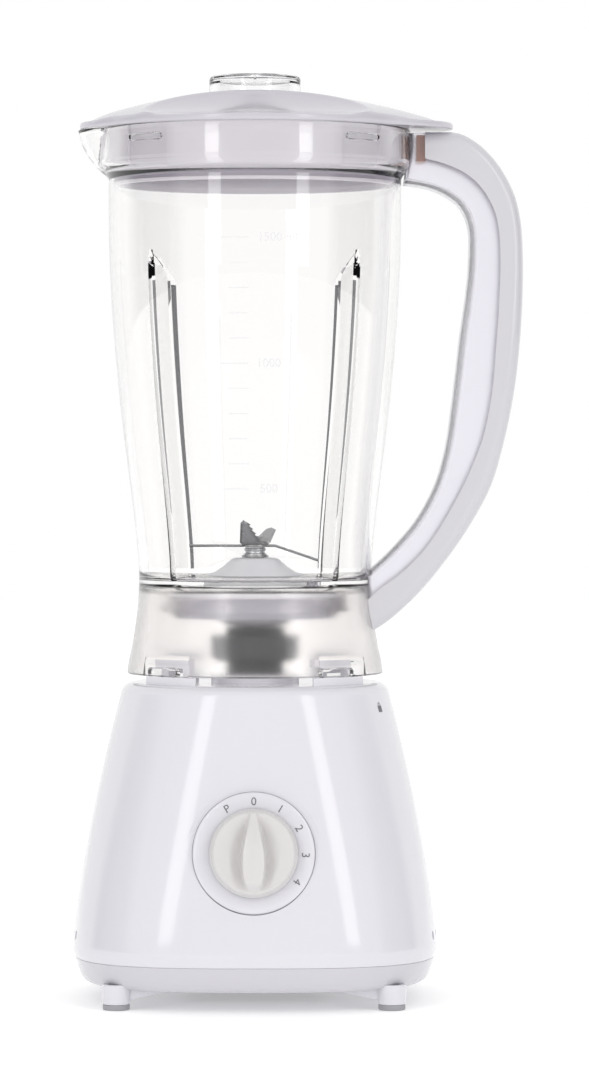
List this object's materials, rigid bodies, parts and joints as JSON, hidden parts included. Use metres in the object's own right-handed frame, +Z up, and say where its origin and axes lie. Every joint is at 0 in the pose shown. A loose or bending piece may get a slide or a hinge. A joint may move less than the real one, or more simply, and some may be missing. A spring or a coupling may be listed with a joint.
{
  "type": "countertop blender",
  "caption": "Countertop blender with a clear waisted jug, ribbed bowl, D-shaped handle, wing-shaped lid with measuring cap, and a tapered white motor base with a rotary control.",
  "frame": {"origin": "on the table under the drive axis, which motor, blades, lid and cap share", "axes": "+Z up along the drive axis, -Y towards the user (the control faces -Y), +X towards the handle, -X towards the spout"},
  "size_m": [0.2003, 0.1692, 0.41],
  "materials": {
    "white_plastic": "smooth semi-gloss, cool white",
    "knob_plastic": "satin, warm light grey",
    "grey_plastic": "satin, light grey",
    "black_plastic": "matte black",
    "clear_plastic": "clear moulded plastic, polished, frosted below the floor of the jug",
    "black_rubber": "matte black",
    "grey_rubber": "matte grey",
    "seal_rubber": "matte light grey",
    "zinc_steel": "zinc-plated",
    "blade_steel": "ground stainless steel",
    "core_iron": "stacked steel sheet",
    "copper_wire": "enamelled copper",
    "bronze": "sintered bronze"
  },
  "bodies": {
    "base": {"base_housing": "white_plastic", "base_lugs": "white_plastic", "bottom_cover": "white_plastic", "rubber_feet": "grey_rubber", "cover_screws": "zinc_steel", "cord_inlet_bush": "black_rubber", "dial_plate": "white_plastic", "rotary_switch": "black_plastic", "lower_bracket": "zinc_steel", "upper_bracket": "zinc_steel", "lower_bearing": "bronze", "upper_bearing": "bronze", "motor_dampers": "black_rubber", "motor_screws": "zinc_steel", "motor_stator": "core_iron", "field_coils": "copper_wire", "brush_holders": "bronze", "carbon_brushes": "black_plastic", "brush_springs": "zinc_steel", "deck_seal": "black_rubber", "interlock_switch": "black_plastic", "interlock_spring": "zinc_steel"},
    "control": {"control_dial": "knob_plastic", "switch_shaft": "zinc_steel"},
    "rotor": {"motor_shaft": "zinc_steel", "armature_core": "core_iron", "armature_windings": "copper_wire", "commutator": "copper_wire", "cooling_fan": "black_plastic", "drive_coupling": "black_rubber"},
    "interlock": {"interlock_plunger": "white_plastic"},
    "jug_body": {"jug": "clear_plastic", "jug_skirt": "clear_plastic", "jug_handle": "clear_plastic", "handle_cover": "white_plastic", "blade_seal": "black_rubber", "blade_base": "grey_plastic", "blade_ring_nut": "grey_plastic", "blade_bushes": "bronze", "shaft_seal": "black_rubber"},
    "blades": {"blade_shaft": "blade_steel", "driven_coupling": "black_rubber", "thrust_washer": "blade_steel", "blade_spacer": "blade_steel", "lower_blade": "blade_steel", "upper_blade": "blade_steel", "blade_nut": "blade_steel"},
    "lid_body": {"lid": "white_plastic", "lid_plug": "white_plastic", "lid_well": "white_plastic", "lid_seal": "seal_rubber"},
    "cap": {"measuring_cap": "clear_plastic"}
  },
  "joints": [
    {"name": "control_turn", "type": "hinge", "parent": "base", "child": "control", "pos_m": [0, -0.072, 0.0695], "axis": [0, 0.9945, -0.1045], "range_deg": [-30, 120]},
    {"name": "motor_spin", "type": "hinge", "parent": "base", "child": "rotor", "pos_m": [0, 0, 0.075], "axis": [0, 0, 1], "continuous": true},
    {"name": "interlock_press", "type": "slide", "parent": "base", "child": "interlock", "axis": [0, 0, 1], "range_m": [-0.003, 0], "stiffness_N_per_m": 300, "springref_m": 0.002, "deforming": ["interlock_spring"]},
    {"name": "jug_lift", "type": "slide", "parent": "base", "child": "jug_body", "axis": [0, 0, 1], "range_m": [0, 0.06]},
    {"name": "blade_spin", "type": "hinge", "parent": "jug_body", "child": "blades", "pos_m": [0, 0, 0.18], "axis": [0, 0, 1], "continuous": true},
    {"name": "lid_lift", "type": "slide", "parent": "jug_body", "child": "lid_body", "axis": [0, 0, 1], "range_m": [0, 0.045]},
    {"name": "cap_lift", "type": "slide", "parent": "lid_body", "child": "cap", "axis": [0, 0, 1], "range_m": [0, 0.05]}
  ],
  "couplings": [
    {"joint": "blade_spin", "follows": "motor_spin", "ratio": 1}
  ]
}
